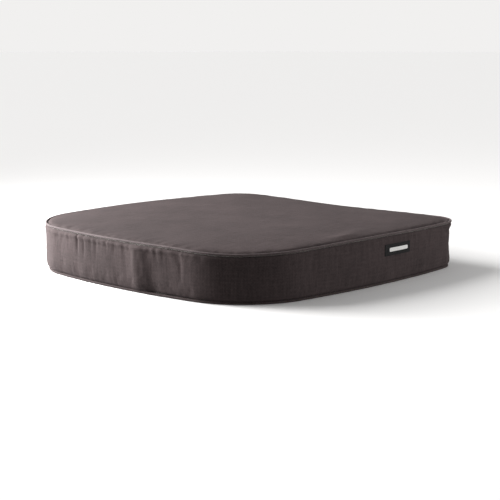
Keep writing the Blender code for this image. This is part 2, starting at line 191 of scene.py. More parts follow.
# %% [markdown]
# Every sheet of cloth is made from a list of points, a list of faces, and for each point its place
# in the flat cloth before sewing. That place is stored as a UV map called threads, in metres, so a
# woven pattern runs along the cloth and keeps its real size round a corner.

# %% Mesh helpers
def sheet_object(name, points, faces, threads, finish):
    mesh = bpy.data.meshes.new(name)
    mesh.from_pydata([tuple(p) for p in points], [], [tuple(f) for f in faces])
    layer = mesh.uv_layers.new(name="threads")
    index = np.zeros(len(mesh.loops), int)
    mesh.loops.foreach_get("vertex_index", index)
    layer.uv.foreach_set("vector", np.asarray(threads, np.float32)[index].ravel())
    mesh.shade_smooth()
    mesh.materials.append(finish)
    obj = bpy.data.objects.new(name, mesh)
    bpy.context.scene.collection.objects.link(obj)
    return obj


def grid_faces(rows, columns, closed=False, start=0):
    """Faces of a grid of points whose columns run anticlockwise and whose rows climb."""
    wide = columns if closed else columns - 1
    r, c = np.meshgrid(np.arange(rows - 1), np.arange(wide), indexing="ij")
    a, b = start + r * columns + c, start + r * columns + (c + 1) % columns
    return np.stack([a, b, b + columns, a + columns], -1).reshape(-1, 4)


def apply_all(obj):
    """Turns an object's modifiers into its mesh."""
    graph = bpy.context.evaluated_depsgraph_get()
    made = bpy.data.meshes.new_from_object(obj.evaluated_get(graph), depsgraph=graph)
    obj.modifiers.clear()
    obj.data = made


def thicken(obj, thickness, smooth=0):
    """Rounds a sheet with subdivision, then gives it its thickness, inwards."""
    if smooth:
        fine = obj.modifiers.new("smooth", "SUBSURF")
        fine.levels = fine.render_levels = smooth
        fine.boundary_smooth = "PRESERVE_CORNERS"
    solid = obj.modifiers.new("thickness", "SOLIDIFY")
    solid.thickness, solid.offset = thickness, -1
    apply_all(obj)
    # The cut edge is a real edge, so the shading of the face stops at it.
    obj.data.set_sharp_from_angle(angle=math.radians(60))
    return obj


def place(obj, body="cushion", replaces=()):
    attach(obj, body)
    if replaces:
        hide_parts(*replaces)
    print(obj.name, len(obj.data.polygons), "faces")
    return obj


# %% [markdown]
# A material is a small graph of nodes. One function adds a node with its settings and its links,
# and one turns a colour as a designer writes it, an sRGB hex value, into the linear numbers that
# the renderer works in. The small hard pieces need no more than two tones in a fine noise.

# %% Node helpers
def paint(code):
    part = [int(code[i : i + 2], 16) / 255 for i in (1, 3, 5)]
    return (*[c / 12.92 if c <= 0.04045 else ((c + 0.055) / 1.055) ** 2.4 for c in part], 1.0)


def node(finish, kind, links=None, out=0, **settings):
    """Adds a node, sets and links its sockets, and gives back one of its outputs."""
    tree = finish.node_tree
    made = tree.nodes.new("ShaderNode" + kind)
    for name, value in settings.items():
        setattr(made, name, value)
    for socket, value in (links or {}).items():
        if isinstance(value, bpy.types.NodeSocket):
            tree.links.new(value, made.inputs[socket])
        else:
            made.inputs[socket].default_value = value
    return made.outputs[out]


def new_finish(name, **constants):
    """A material with its shader's constant values, and the shader's node."""
    finish = bpy.data.materials.new(name)
    finish.use_nodes = True
    shader = finish.node_tree.nodes["Principled BSDF"]
    for socket, value in constants.items():
        shader.inputs[socket.replace("_", " ")].default_value = value
    return finish, shader


def mixed(finish, share, dark, light):
    """A colour between two sRGB hex values."""
    ends = {"Factor": share, 6: paint(dark), 7: paint(light)}
    return node(finish, "Mix", ends, out=2, data_type="RGBA")


def join(finish, shader, **outputs):
    """Links outputs to the shader's sockets, named with _ for each space."""
    for socket, output in outputs.items():
        finish.node_tree.links.new(output, shader.inputs[socket.replace("_", " ")])


def two_tone(name, dark, light, scale, detail=2.0, rough=None, waves=0.0, **constants):
    """A hard finish: two tones, a range of roughness and waves, all from one noise."""
    finish, shader = new_finish(name, **constants)
    place_on_piece = node(finish, "TexCoord", out=3)
    noise = node(
        finish, "TexNoise", {"Vector": place_on_piece, "Scale": scale, "Detail": detail}
    )
    join(finish, shader, Base_Color=mixed(finish, noise, dark, light))
    if rough:
        spread = {"Value": noise, "To Min": rough[0], "To Max": rough[1]}
        join(finish, shader, Roughness=node(finish, "MapRange", spread))
    if waves:
        height = {"Height": noise, "Strength": waves, "Distance": 0.0002}
        join(finish, shader, Normal=node(finish, "Bump", height))
    return finish


# %% [markdown]
# The cover is a plain weave of spun polyester, piece-dyed dark and brushed: matt, with a soft
# bloom of fibre ends where it is seen edge on, and yarns that are a little uneven, so fine streaks
# run both ways, 2.6 mm across and 30 mm long. Real yarns are about 0.5 mm apart, too fine to show,
# so the weave is drawn at 1.8 mm. Sheen gives the bloom; a bump from the crossing yarns gives the
# grain; broad patches 70 mm across keep a large panel from looking printed.

# %% Woven cloth
def woven(name, dark, light, pitch, turn=0.0, depth=0.25, streaks=1.0, mottle=1.0, **constants):
    finish, shader = new_finish(name, **constants)
    place_in_cloth = node(finish, "UVMap", uv_map="threads")
    turned = node(finish, "Mapping", {"Vector": place_in_cloth, "Rotation": (0, 0, turn)})
    uneven = {"Vector": turned, "Scale": 0.30 / pitch, "Detail": 2.0}
    wobble = node(finish, "TexNoise", uneven, out=1)
    shift = {0: wobble, 1: (pitch * 0.9,) * 3, 2: turned}
    bent = node(finish, "VectorMath", shift, operation="MULTIPLY_ADD")
    scaled = node(finish, "VectorMath", {0: bent, "Scale": math.pi / pitch}, operation="SCALE")
    split = finish.node_tree.nodes.new("ShaderNodeSeparateXYZ")
    finish.node_tree.links.new(scaled, split.inputs[0])
    warp = node(finish, "Math", {0: split.outputs[0]}, operation="SINE")
    weft = node(finish, "Math", {0: split.outputs[1]}, operation="SINE")
    crossing = node(finish, "Math", {0: warp, 1: weft}, operation="MULTIPLY")
    yarn = node(finish, "Math", {0: crossing}, operation="ABSOLUTE")
    thin, long = 1 / 0.0026, 1 / 0.030
    along_warp = node(finish, "Mapping", {"Vector": bent, "Scale": (thin, long, 1)})
    along_weft = node(finish, "Mapping", {"Vector": bent, "Scale": (long, thin, 1)})
    slub_a = node(finish, "TexNoise", {"Vector": along_warp, "Scale": 1.0, "Detail": 2.0})
    slub_b = node(finish, "TexNoise", {"Vector": along_weft, "Scale": 1.0, "Detail": 2.0})
    fleck = node(finish, "TexNoise", {"Vector": turned, "Scale": 1 / 0.0028, "Detail": 2.0})
    patch = node(finish, "TexNoise", {"Vector": turned, "Scale": 1 / 0.07, "Detail": 3.0})
    shade = node(finish, "Math", {0: crossing, 1: 0.07, 2: 0.5}, operation="MULTIPLY_ADD")
    for part, weight in (
        (slub_a, 0.8 * streaks),
        (slub_b, 0.5 * streaks),
        (fleck, 0.7 * streaks),
        (patch, 0.8 * mottle),
    ):
        centred = node(finish, "Math", {0: part, 1: 0.5}, operation="SUBTRACT")
        shade = node(finish, "Math", {0: centred, 1: weight, 2: shade}, operation="MULTIPLY_ADD")
    relief = node(finish, "Math", {0: slub_a, 1: 0.8, 2: yarn}, operation="MULTIPLY_ADD")
    height = {"Height": relief, "Strength": 0.22, "Distance": pitch * depth}
    join(
        finish,
        shader,
        Base_Color=mixed(finish, shade, dark, light),
        Roughness=node(finish, "MapRange", {"Value": yarn, "To Min": 0.96, "To Max": 0.82}),
        Normal=node(finish, "Bump", height),
    )
    return finish


COVER_WEAVE = 0.0018
COVER = woven(
    "spun polyester plain weave, charcoal",
    "#322b2b",
    "#514646",
    COVER_WEAVE,
    Sheen_Weight=0.02,
    Sheen_Roughness=0.45,
    Sheen_Tint=paint("#cfc4c4"),
    Specular_IOR_Level=0.12,
)
# Piping is the same cloth cut at 45 degrees, so its yarns cross it slantwise. Its colours are
# painted lighter than the cover's, a painted highlight that makes the top seam read as a bright
# line.
BIAS_PAINTED_HIGHLIGHT = woven(
    "spun polyester on the bias, charcoal",
    "#453d3d",
    "#695e5e",
    COVER_WEAVE,
    turn=math.pi / 4,
    Sheen_Weight=0.12,
    Sheen_Roughness=0.4,
    Sheen_Tint=paint("#d6cbcb"),
    Specular_IOR_Level=0.25,
)
print("cloth made")

# %% [markdown]
# The shape of a filled cover comes from its filling pushing on cloth that is held at its seams.
# A closed shell is built for that: the top panel as rings inside the outline round a square grid,
# so no face is pinched, and the band as rows. Its seams are pinned and pressure swells the rest.

# %% The shell to be filled
SIDE_COUNT = 80  # points along each side of the outline, about 5 mm apart
CORE_INSET = 0.060
sides = [
    (FRONT_LEFT - GIRTH, FRONT_RIGHT),
    (FRONT_RIGHT, REAR_RIGHT),
    (REAR_RIGHT, REAR_LEFT),
    (REAR_LEFT, FRONT_LEFT),
]
ROUND = np.concatenate([np.linspace(a, b, SIDE_COUNT, endpoint=False) for a, b in sides])
AROUND = len(ROUND)
# Shares of the way in from the edge, closest where the cloth turns over to its seam.
IN_SHARES = [0, 0.012, 0.026, 0.045, 0.07, 0.10, 0.14, 0.19, 0.25, 0.32, 0.39, 0.46]
IN_SHARES += [0.54, 0.62, 0.70, 0.78, 0.85, 0.93]


def core_grid():
    w, d = HALF_WIDTH - CORE_INSET, HALF_DEPTH - CORE_INSET
    x, y = np.meshgrid(np.linspace(-w, w, SIDE_COUNT + 1), np.linspace(-d, d, SIDE_COUNT + 1))
    return bowed(x, y)  # [row, column]


def core_edge():
    """Row and column of the grid's border points, anticlockwise from the front left corner."""
    n, k = SIDE_COUNT, np.arange(SIDE_COUNT)
    zero, full = np.zeros(n, int), np.full(n, n)
    return np.concatenate([zero, k, full, n - k]), np.concatenate([k, full, n - k, zero])


def panel_plan(inset):
    """Flat points and faces of a panel cut to the outline: rings from its edge, then the grid."""
    grid = core_grid()
    rows, columns = core_edge()
    inner = grid[rows, columns]
    outer, _ = on_loop(ROUND, np.full(AROUND, -inset))
    rings = [outer * (1 - t) + inner * t for t in IN_SHARES]
    first = len(IN_SHARES) * AROUND
    flat = np.concatenate([*rings, grid.reshape(-1, 2)])
    k = np.arange(AROUND)
    nxt = (k + 1) % AROUND
    faces = []
    for r in range(len(IN_SHARES) - 1):
        a, b = r * AROUND, (r + 1) * AROUND
        faces.append(np.stack([a + k, a + nxt, b + nxt, b + k], -1))
    border = first + rows * (SIDE_COUNT + 1) + columns
    last = (len(IN_SHARES) - 1) * AROUND
    faces.append(np.stack([last + k, last + nxt, border[nxt], border[k]], -1))
    n = SIDE_COUNT + 1
    i, j = np.meshgrid(np.arange(SIDE_COUNT), np.arange(SIDE_COUNT), indexing="ij")
    a = first + i * n + j
    faces.append(np.stack([a, a + 1, a + n + 1, a + n], -1).reshape(-1, 4))
    return flat, np.concatenate(faces)


TOP_INSET = 2 * PIPING + CLEARANCE
TOP_FLAT, TOP_FACES = panel_plan(TOP_INSET)
print("top panel", len(TOP_FLAT), "points", len(TOP_FACES), "faces")


# %% Height of the top
def edge_share(flat, inset):
    """How far out each point lies, 1 at the panel's edge, and the sag of the edge beyond it."""
    s = np.linspace(0, GIRTH, 1600, endpoint=False)
    edge, _ = on_loop(s, np.full(len(s), -inset))
    sunk = sag(read_loop(LOOP, s))
    rel = edge - np.array([0, SHIFT])
    order = np.argsort(np.arctan2(rel[:, 1], rel[:, 0]))
    angle = np.arctan2(rel[:, 1], rel[:, 0])[order]
    reach = np.linalg.norm(rel, axis=1)[order]
    p = flat - np.array([0, SHIFT])
    at = np.arctan2(p[:, 1], p[:, 0])
    far = np.interp(at, angle, reach, period=2 * math.pi)
    return np.linalg.norm(p, axis=1) / far, np.interp(at, angle, sunk[order], period=2 * math.pi)


def crown_height(flat, inset, edge_z):
    share, sunk = edge_share(flat, inset)
    share = np.minimum(share, 1.0)
    return edge_z + CROWN * (1 - share**4) - sunk * share**5


TOP_POINTS = np.column_stack([TOP_FLAT, crown_height(TOP_FLAT, TOP_INSET, EDGE_HEIGHT)])


# %% [markdown]
# The wall is the surface that the band, the labels and the sock are all laid on. It tucks in above
# the bottom seam, and draws in between the seams at the corners, where the cloth is pulled round.

# %% The band's wall
def tuck(z):
    share = (z - BAND_BOTTOM) / (TUCK_HEIGHT - BAND_BOTTOM)
    return BOTTOM_TUCK * (1 - np.clip(share, 0.0, 1.0)) ** 2


CORNER_DRAW = {REAR_RIGHT: 0.0032, REAR_LEFT: 0.0032, FRONT_LEFT: 0.0014, FRONT_RIGHT: 0.0008}


def drawn_in(s, z):
    """How far the wall draws in between its two seams, where it is pulled round a corner."""
    share = np.clip((z - BAND_BOTTOM) / (BAND_TOP - BAND_BOTTOM), 0.0, 1.0)
    corners = sum(depth * hump(signed_length(s - at), 0.026) for at, depth in CORNER_DRAW.items())
    return corners * ease(share / 0.35) * ease((1 - share) / 0.22)


def wall(s, z, out=0.0):
    """Points of the wall at lengths s and heights z, which sink with the top edge."""
    s, z, out = np.broadcast_arrays(s, z, out)
    flat, _ = on_loop(s, out - tuck(z) - drawn_in(s, z))
    share = np.clip((z - SAG_START) / (BAND_TOP - SAG_START), 0.0, 1.0)
    return np.concatenate([flat, (z - sag(read_loop(LOOP, s)) * share)[..., None]], -1)


SIM_ROWS = np.linspace(BAND_BOTTOM, BAND_TOP, 15)
WALL_POINTS = wall(ROUND[None, :], SIM_ROWS[:, None])
print("wall", WALL_POINTS.shape)

# %% [markdown]
# The cloth modifier does the filling. Gravity is off, because the foam and not the cloth's weight
# sets this shape, and a small negative shrink makes the cloth slightly larger than its frame, so
# it puckers along the seams as sewn cloth does. How far a point may move is limited, because the
# foam is cut to size. The result is kept as plain movements, and no modifier stays behind.

# %% Fill the shell
PRESSURE, EXTRA_CLOTH, MOST_MOVE, FRAMES = 4.0, 0.012, 0.0016, 20


def fill_shell():
    """How far each point of the top and of the wall moves when the cover is filled."""
    points = np.concatenate([TOP_POINTS, WALL_POINTS.reshape(-1, 3)])
    start, rows = len(TOP_POINTS), len(SIM_ROWS)
    walls = grid_faces(rows, AROUND, closed=True, start=start)
    k = np.arange(AROUND)
    nxt = (k + 1) % AROUND
    upper = start + (rows - 1) * AROUND
    seam = np.stack([upper + k, upper + nxt, nxt, k], -1)
    faces = [*TOP_FACES.tolist(), *walls.tolist(), *seam.tolist(), (start + k[::-1]).tolist()]
    mesh = bpy.data.meshes.new("shell")
    mesh.from_pydata(points.tolist(), [], faces)
    shell = bpy.data.objects.new("shell", mesh)
    bpy.context.scene.collection.objects.link(shell)
    held = np.concatenate([k, start + k, upper + k])
    shell.vertex_groups.new(name="seams").add(held.tolist(), 1.0, "REPLACE")
    cloth = shell.modifiers.new("cloth", "CLOTH")
    cloth.settings.vertex_group_mass = "seams"
    cloth.settings.use_pressure = True
    cloth.settings.uniform_pressure_force = PRESSURE
    cloth.settings.shrink_min = -EXTRA_CLOTH
    cloth.settings.effector_weights.gravity = 0.0
    cloth.settings.quality = 4
    cloth.point_cache.frame_start, cloth.point_cache.frame_end = 1, FRAMES
    for step in range(1, FRAMES + 1):
        bpy.context.scene.frame_set(step)
    graph = bpy.context.evaluated_depsgraph_get()
    filled = shell.evaluated_get(graph).to_mesh()
    moved = np.zeros(len(points) * 3, np.float32)
    filled.vertices.foreach_get("co", moved)
    move = moved.reshape(-1, 3) - points
    bpy.data.objects.remove(shell)
    bpy.context.scene.frame_set(1)
    far = np.linalg.norm(move, axis=1)
    print("filled: middle move", float(np.median(far)), "most", float(far.max()))
    return move * (MOST_MOVE * np.tanh(far / MOST_MOVE) / np.maximum(far, 1e-9))[:, None]


def calm(move):
    """Keeps most of the wall's broad swelling, and lets its small wrinkles fade downwards."""
    reach = 14  # points each way, about 70 mm
    window = np.hanning(2 * reach + 3)[1:-1]
    wrapped = np.concatenate([move[:, -reach:], move, move[:, :reach]], 1)
    broad = sum(w * wrapped[:, i : i + move.shape[1]] for i, w in enumerate(window / window.sum()))
    height = (SIM_ROWS - BAND_BOTTOM) / (BAND_TOP - BAND_BOTTOM)
    return 0.6 * broad + (move - broad) * (0.30 + 0.50 * ease(height / 0.8))[:, None, None]


move = fill_shell()
TOP_MOVE = move[: len(TOP_POINTS)]
WALL_MOVE = calm(move[len(TOP_POINTS) :].reshape(WALL_POINTS.shape))


# %% [markdown]
# The panel's edge is turned down to the seam, so its outer 5 mm rolls over beside the piping. A
# soft ripple lies along the sitter's left edge, where the cloth was eased in. Both are movements
# added to the filled shape. The sheet is then smoothed once and given the cloth's thickness.

# %% Top panel
def edge_distance(flat, inset):
    """Each point's distance from the panel's edge, in metres."""
    s = np.linspace(0, GIRTH, 800, endpoint=False)
    edge, _ = on_loop(s, np.full(len(s), -inset))
    found = np.empty(len(flat))
    for i in range(0, len(flat), 2000):
        part = flat[i : i + 2000, None, :] - edge[None]
        found[i : i + 2000] = np.sqrt((part**2).sum(-1).min(1))
    return found


def ripple(x, y, centre, size, height, turn=0.0):
    """A soft oval rise, its size given as half its width and half its length."""
    c, sn = math.cos(turn), math.sin(turn)
    a = ((x - centre[0]) * c + (y - centre[1]) * sn) / size[0]
    b = ((y - centre[1]) * c - (x - centre[0]) * sn) / size[1]
    return height * np.exp(-(a * a + b * b))


top_points = TOP_POINTS + TOP_MOVE
into = edge_distance(TOP_FLAT, TOP_INSET)
top_points[:, 2] -= 0.0016 * np.clip(1 - into / 0.0050, 0, 1) ** 2
x, y = TOP_FLAT[:, 0], TOP_FLAT[:, 1]
inside = ease(into / 0.006)
top_points[:, 2] += inside * ripple(x, y, (0.206, -0.025), (0.006, 0.022), 0.0014, 0.05)
top_points[:, 2] += inside * ripple(x, y, (0.195, 0.005), (0.008, 0.030), 0.0008, 0.15)
top = sheet_object("cover_top", top_points, TOP_FACES, TOP_FLAT, COVER)
thicken(top, FABRIC, smooth=1)
place(top, replaces=["top_panel"])
print("top panel rises to", round(max(v.co.z for v in top.data.vertices), 4))

# %% [markdown]
# The band is two lengths of cloth sewn together on the front and ending at the zip. Where they
# meet, the seam allowance is pressed to one side and lifts a ridge, and beside it the cloth falls
# to a crease that deepens downwards. Gathers fan out from the top seam near the front corner.
# Each is a smooth rise or fall, written as a function of place.

# %% What the band shows
rng = np.random.default_rng(7)
WAVES = [(rng.uniform(14, 60), rng.uniform(0, 6.28), rng.uniform(0.4, 1.0)) for _ in range(14)]


def band_relief(s, h):
    """How far the band stands out at length s and height share h, from 0 at its lower seam."""
    t = signed_length(s)
    out = np.zeros(np.broadcast(s, h).shape)
    for count, phase, weight in WAVES:
        out += 0.00006 * weight * np.sin(2 * math.pi * count * s / GIRTH + phase + 1.5 * h)
    # The seam allowance lies to the left of the join, and lifts the cloth to a ridge along it.
    held = (0.45 + 0.55 * ease((1 - h) / 0.12)) * (0.6 + 0.4 * ease(h / 0.12))
    ridge = np.clip((t + 0.0137) / 0.0165, 0, 1) ** 1.5 - ease((t - 0.0028) / 0.038)
    out += 0.0024 * held * ridge
    # To its right the cloth falls to a crease, sooner and deeper towards the bottom, and rises
    # again slowly.
    crease = front_at(0.0595) - 0.007 * ease((h - 0.55) / 0.30)
    before, after = 0.0080 + 0.007 * (1 - h), 0.0085
    fallen = ease((t - crease + before) / (before + after)) - ease((t - crease - after) / 0.070)
    out -= (0.0017 + 0.0008 * (1 - h)) * fallen * ease((1.05 - h) / 0.50)
    for x, depth, reach in GATHERS:
        width = 0.0019 + 0.0010 * (1 - h)
        at = front_at(x) + 0.0020 * (1 - h)
        out -= depth * hump(t - at, width) * ease((h - 1 + reach) / 0.40)
    # The upper seam allowance is turned down inside and lifts a ridge, strongest at the front.
    at_front = ease((front_at(0.16) - t) / 0.10) * ease((t - front_at(-0.17)) / 0.05)
    lifted = 0.0004 + 0.0009 * at_front
    out += lifted * hump((1 - h) * (BAND_TOP - BAND_BOTTOM) - 0.0040, 0.0021)
    return out


# Place along the front, depth, and share of the band's height that each gather runs down.
GATHERS = [
    (-0.0935, 0.0004, 0.45),
    (-0.0745, 0.0011, 0.62),
    (-0.0605, 0.0010, 0.62),
    (-0.0460, 0.0003, 0.45),
    (-0.0320, 0.0003, 0.40),
    (-0.0140, 0.0004, 0.36),
    (0.0005, 0.0007, 0.45),
    (0.0735, 0.0005, 0.50),
    (0.0850, 0.0004, 0.45),
    (0.1110, 0.0005, 0.80),
]


# %% Band sheets
def between(field, row, column):
    """A value of the filled wall between its points, by smooth curves through four neighbours."""

    def weights(f):
        return (
            ((-0.5 * f + 1.0) * f - 0.5) * f,
            (1.5 * f - 2.5) * f * f + 1.0,
            ((-1.5 * f + 2.0) * f + 0.5) * f,
            (0.5 * f - 0.5) * f * f,
        )

    r0, c0 = np.floor(row).astype(int), np.floor(column).astype(int)
    total = 0.0
    for i, wr in enumerate(weights(row - r0)):
        r = np.clip(r0 + i - 1, 0, field.shape[0] - 1)
        for j, wc in enumerate(weights(column - c0)):
            total = total + field[r, (c0 + j - 1) % field.shape[1]] * (wr * wc)[..., None]
    return total


def filled_move(s, z):
    """How far the filled wall has moved at lengths s and heights z."""
    lengths = np.concatenate([ROUND, [ROUND[0] + GIRTH]])
    column = np.interp((s - ROUND[0]) % GIRTH + ROUND[0], lengths, np.arange(AROUND + 1))
    row = (z - SIM_ROWS[0]) / (SIM_ROWS[1] - SIM_ROWS[0])
    row, column = np.broadcast_arrays(row, column)
    return between(WALL_MOVE, row, column)


def band_sheet(name, start, end, bottom, top, folds=(0.0013, 0.0010)):
    """A length of band between two lengths of the outline and two heights, with turned edges."""
    end = end if end > start else end + GIRTH
    trim = [0.0 if abs(signed_length(at)) < 0.01 else CLEARANCE / 2 for at in (start, end)]
    s = np.linspace(start + trim[0], end - trim[1], int((end - start) / 0.0017))
    edge = np.array([0, 0.0005, 0.0011, 0.0019, 0.0030, 0.0045])
    count = int((top - bottom - 2 * edge[-1]) / 0.0022)
    middle = np.linspace(bottom + edge[-1], top - edge[-1], max(count, 3))[1:-1]
    z = np.concatenate([bottom + edge, middle, (top - edge)[::-1]])
    share = (z - BAND_BOTTOM) / (BAND_TOP - BAND_BOTTOM)
    out = band_relief(s[None, :], share[:, None])
    out -= (folds[0] * np.clip(1 - (z - bottom) / 0.0030, 0, 1) ** 2)[:, None]
    out -= (folds[1] * np.clip(1 - (top - z) / 0.0030, 0, 1) ** 2)[:, None]
    # The ends of a length are turned in too, except at the front join, which is sewn tight.
    ends_in = np.clip(1 - np.minimum(s - start, end - s) / 0.0020, 0, 1) ** 2
    out -= (np.where(np.abs(signed_length(s)) < 0.01, 0.0, 0.0007) * ends_in)[None, :]
    points = wall(s[None, :], z[:, None], out) + filled_move(s[None, :], z[:, None])
    threads = np.stack(np.broadcast_arrays(s[None, :], z[:, None]), -1).reshape(-1, 2)
    faces = grid_faces(len(z), len(s))
    obj = sheet_object(name, points.reshape(-1, 3), faces, threads, COVER)
    return thicken(obj, FABRIC)


left = band_sheet("cover_band_left", 0.0, ZIP_START, BAND_BOTTOM, BAND_TOP)
place(left, replaces=["boxing_band_left_side"])
right = band_sheet("cover_band_right", ZIP_END, GIRTH, BAND_BOTTOM, BAND_TOP)
place(right, replaces=["boxing_band_right_side"])

# %% [markdown]
# Across the zip the band is split into an upper and a lower strip. Their edges beside the zip are
# folds, thicker and rounder than a cut edge, so they turn in further.

# %% Zip strips
upper = band_sheet(
    "cover_strip_upper", ZIP_START, ZIP_END, ZIP_HEIGHT + ZIP_GAP / 2, BAND_TOP, (0.0009, 0.0010)
)
place(upper, replaces=["zip_strip_upper"])
lower = band_sheet(
    "cover_strip_lower", ZIP_START, ZIP_END, BAND_BOTTOM, ZIP_HEIGHT - ZIP_GAP / 2, (0.0013, 0.0009)
)
place(lower, replaces=["zip_strip_lower"])


# %% [markdown]
# Piping is a thin cord in a strip of bias cloth, sewn into the seam. A tube swept along the
# outline gives its shape. Its thickness wanders slightly, because no hand-fed strip lies even.

# %% Piping
def tube(name, path, radius, sides, finish, closed=True):
    """A tube along a path. Its threads map is length along it and distance round it."""
    nxt, back = np.roll(path, -1, 0), np.roll(path, 1, 0)
    if not closed:
        nxt[-1], back[0] = path[-1], path[0]
    ahead = nxt - back
    ahead /= np.linalg.norm(ahead, axis=1)[:, None]
    side = np.cross(ahead, [0.0, 0.0, 1.0])
    side /= np.maximum(np.linalg.norm(side, axis=1), 1e-9)[:, None]
    up = np.cross(side, ahead)
    radius = np.broadcast_to(radius, len(path))
    angle = np.arange(sides) * 2 * math.pi / sides
    ring = side[:, None] * np.cos(angle)[:, None] + up[:, None] * np.sin(angle)[:, None]
    points = path[:, None] + ring * radius[:, None, None]
    walked = np.concatenate([[0], np.cumsum(np.linalg.norm(np.diff(path, axis=0), axis=1))])
    round_it = np.abs(angle - math.pi) * radius.mean()
    threads = np.stack(np.broadcast_arrays(walked[:, None], round_it[None]), -1)
    n, m = len(path), sides
    i, j = np.meshgrid(np.arange(n if closed else n - 1), np.arange(m), indexing="ij")
    a, b = i * m + j, i * m + (j + 1) % m
    c, d = ((i + 1) % n) * m + (j + 1) % m, ((i + 1) % n) * m + j
    faces = np.stack([a, b, c, d], -1).reshape(-1, 4)[:, ::-1].tolist()
    if not closed:
        faces += [list(range(m)), [(n - 1) * m + k for k in range(m)][::-1]]
    return sheet_object(name, points.reshape(-1, 3), faces, threads.reshape(-1, 2), finish)


def piping(name, inset, z, sinks, finish, node_name):
    s = np.linspace(0, GIRTH, 760, endpoint=False)
    flat, _ = on_loop(s, np.full(len(s), -inset))
    sunk = sag(read_loop(LOOP, s)) if sinks else np.zeros(len(s))
    turns = 2 * math.pi * s / GIRTH
    uneven = sum(w * np.sin(round(c * 2.3) * turns + p) for c, p, w in WAVES)
    path = np.column_stack([flat, z - sunk])
    obj = tube(name, path, PIPING * (1.0 + 0.012 * uneven), 12, finish)
    return place(obj, replaces=[node_name])


PROUD_TOP, PROUD_BOTTOM, SWELL = 0.0006, 0.0002, 0.0001  # how far the cord stands out and up
# The top piping uses the lightened cloth, a painted highlight along the top seam; the bottom piping
# keeps the cover's own colour.
piping(
    "piping_top", PIPING - PROUD_TOP, EDGE_HEIGHT - PIPING + SWELL, True, BIAS_PAINTED_HIGHLIGHT, "top_piping"
)
bottom_inset = BOTTOM_TUCK + PIPING - PROUD_BOTTOM
piping("piping_bottom", bottom_inset, PIPING + SWELL, False, COVER, "bottom_piping")

# %% [markdown]
# Underneath is black cloth with rubber dots, which stop the cushion sliding. The dots are real
# bumps in a honeycomb pattern, 4 mm across and 12 mm apart, and the cushion rests on their tips.

# %% Non-slip cloth
GRIP = woven(
    "polyester canvas, black",
    "#161415",
    "#242122",
    0.0016,
    Sheen_Weight=0.15,
    Specular_IOR_Level=0.3,
)
# Printed rubber is matt and slightly uneven, so a dot shows a soft light and not a point.
RUBBER = two_tone(
    "printed rubber dots, black",
    "#101011",
    "#1d1d1f",
    900.0,
    detail=3.0,
    rough=(0.45, 0.7),
    IOR=1.5,
    Specular_IOR_Level=0.45,
)
BOTTOM_INSET = BOTTOM_TUCK + 2 * PIPING + CLEARANCE
DOT_HEIGHT, DOT_RADIUS, DOT_PITCH = 0.0005, 0.0020, 0.012


def make_grip():
    s = np.linspace(0, GIRTH, 500, endpoint=False)
    edge, _ = on_loop(s, np.full(len(s), -BOTTOM_INSET))
    bm = bmesh.new()
    ring = [bm.verts.new((x, y, DOT_HEIGHT)) for x, y in edge]
    bm.faces.new(ring[::-1])
    raised = bmesh.ops.extrude_face_region(bm, geom=bm.faces[:])
    for v in raised["geom"]:
        if isinstance(v, bmesh.types.BMVert):
            v.co.z = GRIP_CLOTH
    bmesh.ops.recalc_face_normals(bm, faces=bm.faces[:])
    layer = bm.loops.layers.uv.new("threads")
    for face in bm.faces:
        for loop in face.loops:
            loop[layer].uv = loop.vert.co.xy
    mesh = bpy.data.meshes.new("grip_cloth")
    bm.to_mesh(mesh)
    mesh.materials.append(GRIP)
    obj = bpy.data.objects.new("grip_cloth", mesh)
    bpy.context.scene.collection.objects.link(obj)
    return obj


grip = place(make_grip(), replaces=["bottom_panel"])


# %% Rubber dots
def make_dots():
    """Low domes with their tips down, wherever a whole one fits inside the cloth's edge."""
    step = DOT_PITCH * 0.866  # between the rows of a honeycomb
    centres = np.array(
        [
            (-0.23 + DOT_PITCH * (c + 0.5 * (r % 2)), -0.22 + step * r)
            for r in range(int(0.46 / step))
            for c in range(int(0.46 / DOT_PITCH))
        ]
    )
    s = np.linspace(0, GIRTH, 700, endpoint=False)
    edge, facing = on_loop(s, np.full(len(s), -BOTTOM_INSET))
    closest = ((centres[:, None] - edge[None]) ** 2).sum(-1).argmin(1)
    inside = ((edge[closest] - centres) * facing[closest]).sum(1) > DOT_RADIUS + 0.002
    profile = [(1.0, 0.0), (0.86, 0.45), (0.5, 0.88)]
    around = 12
    points, faces = [], []
    for x, y in centres[inside]:
        first = len(points)
        for share, drop in profile:
            for a in np.arange(around) * 2 * math.pi / around:
                wide, deep = DOT_RADIUS * share, DOT_HEIGHT * (1 - drop)
                points.append((x + wide * math.cos(a), y + wide * math.sin(a), deep))
        tip = len(points)
        points.append((x, y, 0.0))
        for k in range(around):
            n = (k + 1) % around
            for low in (first, first + around):
                faces.append((low + n, low + k, low + around + k, low + around + n))
            faces.append((first + 2 * around + n, first + 2 * around + k, tip))
        faces.append([first + k for k in range(around)])
    dots = sheet_object("grip_dots", points, faces, np.array(points)[:, :2], RUBBER)
    return dots, int(inside.sum())


dots, count = make_dots()
place(dots)
print(count, "dots")

# %% [markdown]
# The zip is a coil zip: each half is one nylon filament wound into a helix and sewn to a woven
# tape. The loops are modelled one by one, 1.4 mm apart, because a plain bar would read as rubber.

# %% Zip finishes
TAPE_CLOTH = woven(
    "woven polyester tape, black", "#0f0f10", "#1f1e1f", 0.0011, depth=0.3, Specular_IOR_Level=0.3
)
NYLON = two_tone(
    "nylon filament, black",
    "#0e0e0f",
    "#1a1a1b",
    600.0,
    rough=(0.28, 0.42),
    IOR=1.53,
    Specular_IOR_Level=0.5,
)
# Enamelled zinc: a thin even coat over a tumbled casting, satin, with tiny waves.
ENAMEL = two_tone(
    "enamelled zinc casting, black",
    "#1b1b1d",
    "#2a2a2c",
    420.0,
    detail=3.0,
    rough=(0.26, 0.42),
    waves=0.15,
    IOR=1.5,
    Coat_Weight=0.25,
)

# %% Coils and tapes
LOOP_PITCH, FILAMENT = 0.0014, 0.00034


